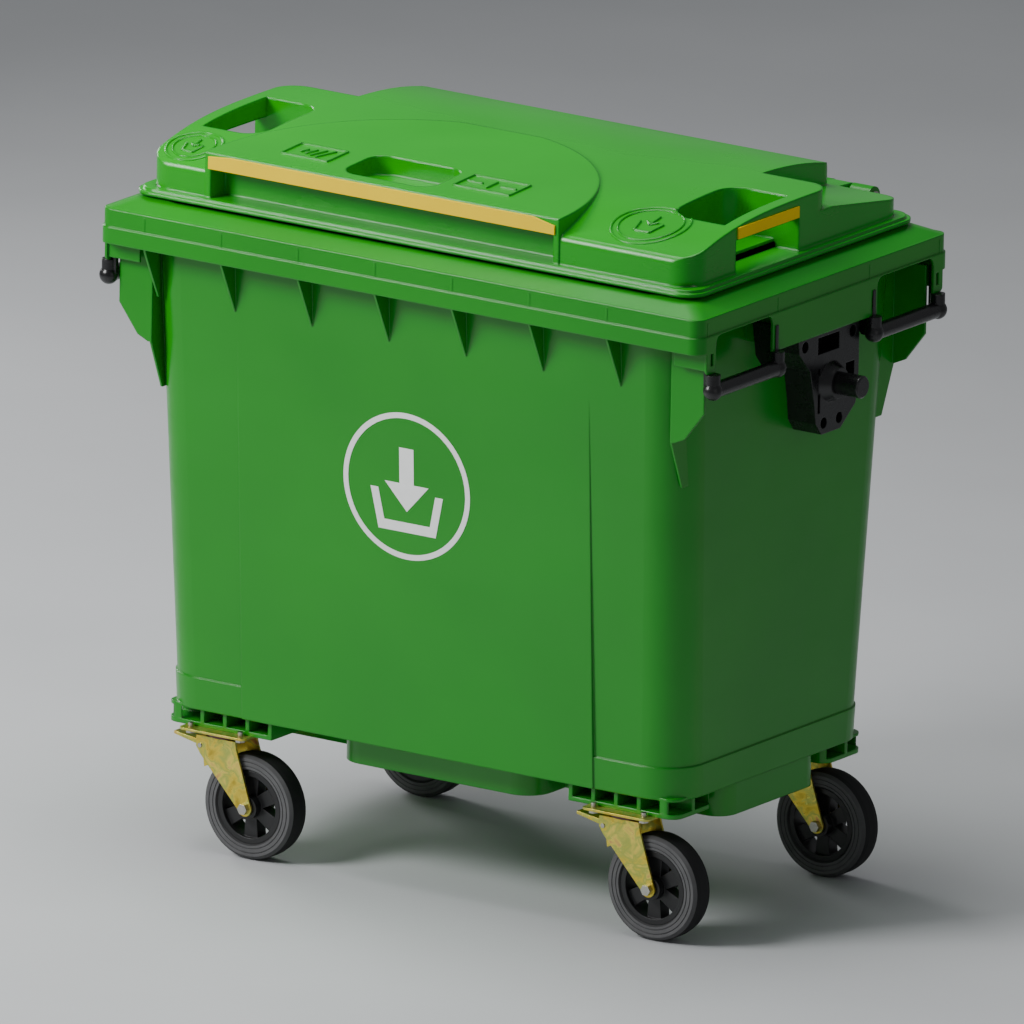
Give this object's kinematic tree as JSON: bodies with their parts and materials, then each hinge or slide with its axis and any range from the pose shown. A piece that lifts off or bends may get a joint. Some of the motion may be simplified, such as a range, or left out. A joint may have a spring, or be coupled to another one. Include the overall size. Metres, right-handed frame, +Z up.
{
  "type": "four-wheeled refuse container",
  "caption": "Large plastic refuse container with a flat hinged lid, side push bars, lifting trunnions and swivel castors with foot brakes.",
  "frame": {"origin": "on the ground under the middle of the whole box", "axes": "+X along the rim to the right, -Y to the front, +Z up"},
  "size_m": [1.37, 0.82, 1.297],
  "materials": {
    "green_hdpe": "moulded, glossy",
    "green_lid": "moulded, glossy",
    "yellow_grip": "satin",
    "white_print": "hot-stamped film",
    "black_plastic": "moulded, glossy",
    "black_pin": "moulded over steel",
    "seal_rubber": "matt",
    "red_ring": "moulded",
    "tyre_rubber": "matt",
    "rim_plastic": "moulded",
    "yellow_zinc": "zinc plated, yellow passivated",
    "plain_steel": "zinc plated"
  },
  "bodies": {
    "tub": {"castor_plate_bolts": "plain_steel", "drain_plug": "black_plastic", "drain_plug_seal": "seal_rubber", "front_left_bearing": "plain_steel", "front_left_kingpin": "plain_steel", "front_left_plate": "yellow_zinc", "front_left_seal": "red_ring", "front_print": "white_print", "front_right_bearing": "plain_steel", "front_right_kingpin": "plain_steel", "front_right_plate": "yellow_zinc", "front_right_seal": "red_ring", "handle_front_left": "black_plastic", "handle_front_right": "black_plastic", "handle_rear_left": "black_plastic", "handle_rear_right": "black_plastic", "hinge_pin_left": "plain_steel", "hinge_pin_right": "plain_steel", "rear_left_bearing": "plain_steel", "rear_left_kingpin": "plain_steel", "rear_left_plate": "yellow_zinc", "rear_left_seal": "red_ring", "rear_right_bearing": "plain_steel", "rear_right_kingpin": "plain_steel", "rear_right_plate": "yellow_zinc", "rear_right_seal": "red_ring", "trunnion_bracket_left": "black_plastic", "trunnion_bracket_right": "black_plastic", "trunnion_pin_left": "black_pin", "trunnion_pin_right": "black_pin", "trunnion_screws": "plain_steel", "tub_body": "green_hdpe"},
    "lid": {"lid_grip_front": "yellow_grip", "lid_grip_left": "yellow_grip", "lid_grip_right": "yellow_grip", "lid_shell": "green_lid"},
    "fork_front_left": {"front_left_axle_bolt": "plain_steel", "front_left_brake_pin": "plain_steel", "front_left_fork": "yellow_zinc", "front_left_hub_bush": "plain_steel"},
    "wheel_front_left": {"front_left_tyre": "tyre_rubber", "front_left_wheel_rim": "rim_plastic"},
    "fork_front_right": {"front_right_axle_bolt": "plain_steel", "front_right_brake_pin": "plain_steel", "front_right_fork": "yellow_zinc", "front_right_hub_bush": "plain_steel"},
    "wheel_front_right": {"front_right_tyre": "tyre_rubber", "front_right_wheel_rim": "rim_plastic"},
    "fork_rear_left": {"rear_left_axle_bolt": "plain_steel", "rear_left_fork": "yellow_zinc", "rear_left_hub_bush": "plain_steel"},
    "wheel_rear_left": {"rear_left_tyre": "tyre_rubber", "rear_left_wheel_rim": "rim_plastic"},
    "fork_rear_right": {"rear_right_axle_bolt": "plain_steel", "rear_right_fork": "yellow_zinc", "rear_right_hub_bush": "plain_steel"},
    "wheel_rear_right": {"rear_right_tyre": "tyre_rubber", "rear_right_wheel_rim": "rim_plastic"},
    "pedal_front_left": {"front_left_brake_pedal": "yellow_zinc"},
    "pedal_front_right": {"front_right_brake_pedal": "yellow_zinc"}
  },
  "joints": [
    {"name": "lid_hinge", "type": "hinge", "parent": "tub", "child": "lid", "pos_m": [0, 0.391, 1.186], "axis": [-1, 0, 0], "range_deg": [0, 235]},
    {"name": "swivel_front_left", "type": "hinge", "parent": "tub", "child": "fork_front_left", "pos_m": [-0.425, -0.282, 0.226], "axis": [0, 0, 1], "continuous": true},
    {"name": "wheel_front_left", "type": "hinge", "parent": "fork_front_left", "child": "wheel_front_left", "pos_m": [-0.365, -0.282, 0.095], "axis": [0, 1, 0], "continuous": true},
    {"name": "pedal_front_left", "type": "hinge", "parent": "fork_front_left", "child": "pedal_front_left", "pos_m": [-0.461, -0.282, 0.194], "axis": [0, -1, 0], "range_deg": [0, 14]},
    {"name": "swivel_front_right", "type": "hinge", "parent": "tub", "child": "fork_front_right", "pos_m": [0.425, -0.282, 0.226], "axis": [0, 0, 1], "continuous": true},
    {"name": "wheel_front_right", "type": "hinge", "parent": "fork_front_right", "child": "wheel_front_right", "pos_m": [0.485, -0.282, 0.095], "axis": [0, 1, 0], "continuous": true},
    {"name": "pedal_front_right", "type": "hinge", "parent": "fork_front_right", "child": "pedal_front_right", "pos_m": [0.389, -0.282, 0.194], "axis": [0, -1, 0], "range_deg": [0, 14]},
    {"name": "swivel_rear_left", "type": "hinge", "parent": "tub", "child": "fork_rear_left", "pos_m": [-0.425, 0.242, 0.226], "axis": [0, 0, 1], "continuous": true},
    {"name": "wheel_rear_left", "type": "hinge", "parent": "fork_rear_left", "child": "wheel_rear_left", "pos_m": [-0.365, 0.242, 0.095], "axis": [0, 1, 0], "continuous": true},
    {"name": "swivel_rear_right", "type": "hinge", "parent": "tub", "child": "fork_rear_right", "pos_m": [0.425, 0.242, 0.226], "axis": [0, 0, 1], "continuous": true},
    {"name": "wheel_rear_right", "type": "hinge", "parent": "fork_rear_right", "child": "wheel_rear_right", "pos_m": [0.485, 0.242, 0.095], "axis": [0, 1, 0], "continuous": true}
  ]
}
